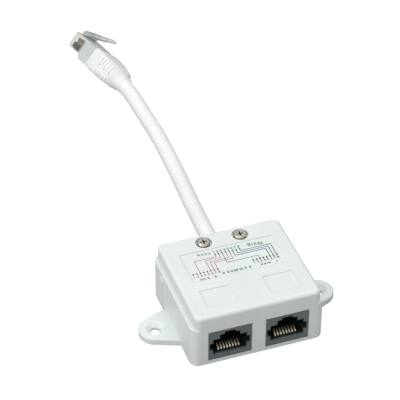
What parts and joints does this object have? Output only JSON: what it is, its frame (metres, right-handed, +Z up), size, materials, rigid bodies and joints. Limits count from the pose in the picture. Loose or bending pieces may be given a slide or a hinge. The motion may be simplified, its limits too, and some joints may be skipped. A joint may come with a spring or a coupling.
{
  "type": "network splitter adapter",
  "caption": "Small white case with a screwed cover, sockets in front, a fixing ear on each side and a short lead behind that ends in a booted clear plug.",
  "frame": {"origin": "on the surface the case stands on, under the middle of the case", "axes": "+X along the socket face towards the right ear, +Y from the socket face towards the lead, +Z up"},
  "size_m": [0.0702, 0.1881, 0.0215],
  "materials": {
    "case": "satin white moulding",
    "socket": "matte slate grey moulding",
    "carrier": "matte slate grey moulding",
    "contact": "gold-plated strip",
    "board": "green solder mask",
    "screw": "bright zinc plate",
    "tie": "natural nylon",
    "jacket": "satin white sleeve",
    "boot": "soft white moulding",
    "clear_plug": "clear moulding",
    "wire_white_orange": "coloured insulation",
    "wire_orange": "coloured insulation",
    "wire_white_green": "coloured insulation",
    "wire_blue": "coloured insulation",
    "wire_white_blue": "coloured insulation",
    "wire_green": "coloured insulation",
    "wire_white_brown": "coloured insulation",
    "wire_brown": "coloured insulation"
  },
  "bodies": {
    "root": {"base_shell": "case", "top_cover": "case", "circuit_board": "board", "cable_tie": "tie", "cable_jacket": "jacket", "plug_boot": "boot", "plug_body": "clear_plug", "cover_screw_left": "screw", "socket_housing_left": "socket", "contact_carrier_left": "carrier", "cover_screw_right": "screw", "socket_housing_right": "socket", "contact_carrier_right": "carrier", "socket_contact_left_1": "contact", "socket_contact_left_2": "contact", "socket_contact_left_3": "contact", "socket_contact_left_4": "contact", "socket_contact_left_5": "contact", "socket_contact_left_6": "contact", "socket_contact_left_7": "contact", "socket_contact_left_8": "contact", "socket_contact_right_1": "contact", "socket_contact_right_2": "contact", "socket_contact_right_3": "contact", "socket_contact_right_4": "contact", "socket_contact_right_5": "contact", "socket_contact_right_6": "contact", "socket_contact_right_7": "contact", "socket_contact_right_8": "contact", "plug_contact_1": "contact", "plug_contact_2": "contact", "plug_contact_3": "contact", "plug_contact_4": "contact", "plug_contact_5": "contact", "plug_contact_6": "contact", "plug_contact_7": "contact", "plug_contact_8": "contact", "board_wire_1": "wire_white_orange", "board_wire_2": "wire_orange", "board_wire_3": "wire_white_green", "board_wire_4": "wire_blue", "board_wire_5": "wire_white_blue", "board_wire_6": "wire_green", "board_wire_7": "wire_white_brown", "board_wire_8": "wire_brown", "plug_wire_1": "wire_white_orange", "plug_wire_2": "wire_orange", "plug_wire_3": "wire_white_green", "plug_wire_4": "wire_blue", "plug_wire_5": "wire_white_blue", "plug_wire_6": "wire_green", "plug_wire_7": "wire_white_brown", "plug_wire_8": "wire_brown"}
  },
  "joints": []
}
